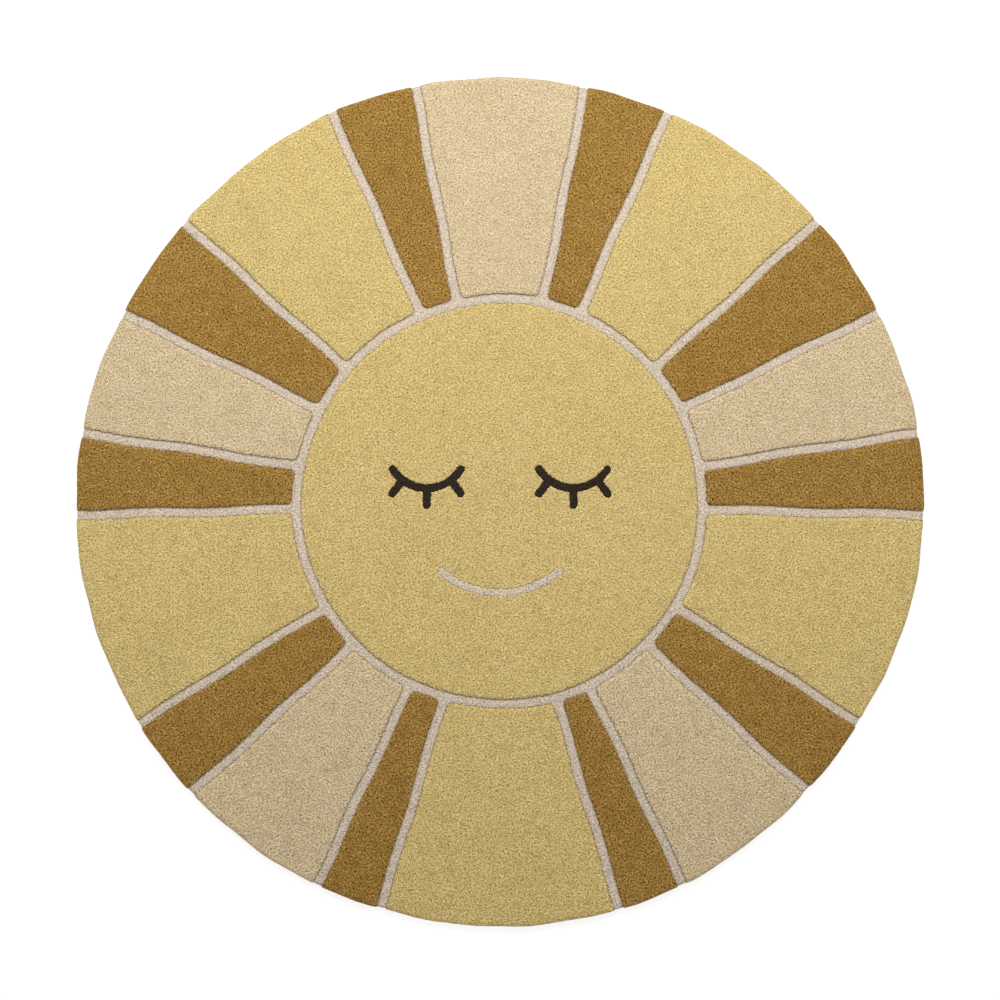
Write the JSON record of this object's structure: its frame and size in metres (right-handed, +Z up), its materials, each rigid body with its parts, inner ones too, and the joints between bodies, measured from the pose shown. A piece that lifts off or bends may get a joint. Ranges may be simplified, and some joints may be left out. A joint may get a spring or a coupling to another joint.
{
  "type": "sun-shaped rug",
  "caption": "Round tufted wool rug that lies flat, with a middle disc and wedge-shaped rays parted by sheared pale lines.",
  "frame": {"origin": "middle of the underside", "axes": "+Z up out of the pile, +Y towards the top of the sun, +X towards its right"},
  "size_m": [1.1003, 1.1023, 0.014],
  "materials": {
    "pile_yellow": "cut wool pile, matt",
    "pile_mustard": "cut wool pile, matt",
    "pile_cream": "cut wool pile, matt",
    "pile_pale": "low sheared wool pile, matt",
    "pile_brown": "cut wool pile, matt",
    "backing": "plain canvas, matt"
  },
  "bodies": {
    "root": {"rug": "pile_yellow"}
  },
  "joints": []
}
